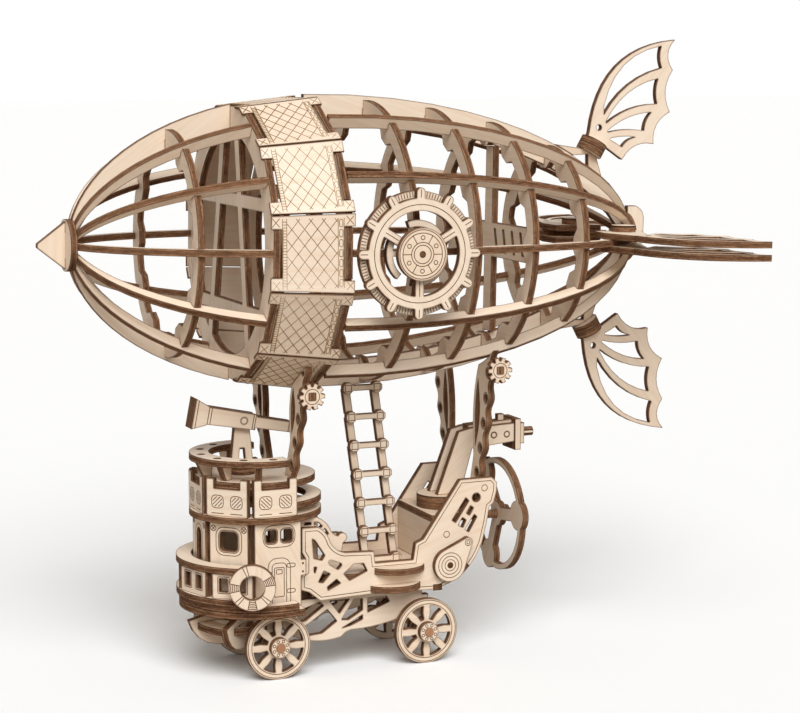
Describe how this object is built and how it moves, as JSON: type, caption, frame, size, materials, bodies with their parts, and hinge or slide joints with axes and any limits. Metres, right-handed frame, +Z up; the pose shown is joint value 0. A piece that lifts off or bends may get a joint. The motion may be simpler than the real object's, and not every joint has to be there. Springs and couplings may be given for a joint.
{
  "type": "airship model",
  "caption": "Plywood airship model: a ribbed cigar-shaped envelope with bat-wing fins on struts over a wheeled gondola with a tower, telescope, gun and propeller.",
  "frame": {"origin": "on the floor under the middle of the model's bounding box", "axes": "+X towards the tail, +Y towards the right side, +Z up; the nose points to -X"},
  "size_m": [0.3142, 0.1898, 0.2881],
  "materials": {
    "plywood": "bare laser-cut plywood with scorched edges",
    "pale_plywood": "bare laser-cut plywood, pale face veneer with engraved lines",
    "wooden_dowel": "turned bare wood"
  },
  "bodies": {
    "airship": {"nose_plate": "pale_plywood", "nose_disc": "plywood", "front_longerons": "plywood", "front_rib": "plywood", "front_bulkhead": "plywood", "rear_bulkhead": "plywood", "band_panels": "pale_plywood", "rear_longerons": "plywood", "rib_1": "plywood", "rib_2": "plywood", "rib_3": "plywood", "rib_4": "plywood", "tail_disc": "plywood", "cross_beam": "plywood", "tail_tab": "pale_plywood", "upper_fin_seat": "plywood", "upper_fin_bracket": "pale_plywood", "lower_fin_seat": "plywood", "lower_fin_bracket": "pale_plywood", "left_fin_plates": "pale_plywood", "right_fin_plates": "pale_plywood", "side_fin_pins": "wooden_dowel", "emblem_ring": "pale_plywood", "emblem_back_ring": "plywood", "emblem_hub": "pale_plywood", "front_struts": "plywood", "rear_struts": "plywood", "strut_gears": "pale_plywood", "ladder_rungs": "pale_plywood", "ladder_links": "plywood", "hull_floor": "plywood", "base_ring": "plywood", "balcony_ring": "plywood", "balcony_panels": "pale_plywood", "lifebuoy": "pale_plywood", "tower_walls": "pale_plywood", "mid_ring": "plywood", "parapets": "pale_plywood", "roof": "plywood", "platform_ring": "plywood", "platform_brackets": "plywood", "bow_keels": "plywood", "left_side_panel": "pale_plywood", "right_side_panel": "pale_plywood", "main_deck": "plywood", "stern_frame": "plywood", "boarding_steps": "plywood", "chassis_plates": "plywood"},
    "front_wheelset": {"front_axle": "wooden_dowel", "front_wheels": "pale_plywood"},
    "rear_wheelset": {"rear_axle": "wooden_dowel", "rear_wheels": "pale_plywood"},
    "propeller_rotor": {"propeller": "plywood"},
    "telescope_mount": {"telescope_stand": "plywood"},
    "telescope_tube": {"telescope": "pale_plywood"},
    "stern_gun": {"gun": "pale_plywood"},
    "upper_fin_blade": {"upper_fin": "pale_plywood", "upper_fin_collar": "plywood"},
    "lower_fin_blade": {"lower_fin": "pale_plywood", "lower_fin_collar": "plywood"}
  },
  "joints": [
    {"name": "front_axle_roll", "type": "hinge", "parent": "airship", "child": "front_wheelset", "pos_m": [-0.05583, 0, 0.0153], "axis": [0, 1, 0], "continuous": true},
    {"name": "rear_axle_roll", "type": "hinge", "parent": "airship", "child": "rear_wheelset", "pos_m": [0.01717, 0, 0.0153], "axis": [0, 1, 0], "continuous": true},
    {"name": "propeller_spin", "type": "hinge", "parent": "airship", "child": "propeller_rotor", "pos_m": [0.06387, 0, 0.0625], "axis": [1, 0, 0], "continuous": true},
    {"name": "telescope_swivel", "type": "hinge", "parent": "airship", "child": "telescope_mount", "pos_m": [-0.06463, 0, 0.092], "axis": [0, 0, 1], "range_deg": [-25, 25]},
    {"name": "telescope_tilt", "type": "hinge", "parent": "telescope_mount", "child": "telescope_tube", "pos_m": [-0.06463, 0, 0.1165], "axis": [0, 1, 0], "range_deg": [-15, 10]},
    {"name": "gun_swivel", "type": "hinge", "parent": "airship", "child": "stern_gun", "pos_m": [0.03537, 0, 0.0691], "axis": [0, 0, 1], "range_deg": [-25, 25]},
    {"name": "upper_fin_turn", "type": "hinge", "parent": "airship", "child": "upper_fin_blade", "pos_m": [0.11384, 0, 0.23847], "axis": [0.5, 0, 0.866], "range_deg": [-25, 25]},
    {"name": "lower_fin_turn", "type": "hinge", "parent": "airship", "child": "lower_fin_blade", "pos_m": [0.11229, 0, 0.14953], "axis": [0.4695, 0, -0.8829], "range_deg": [-25, 25]}
  ]
}
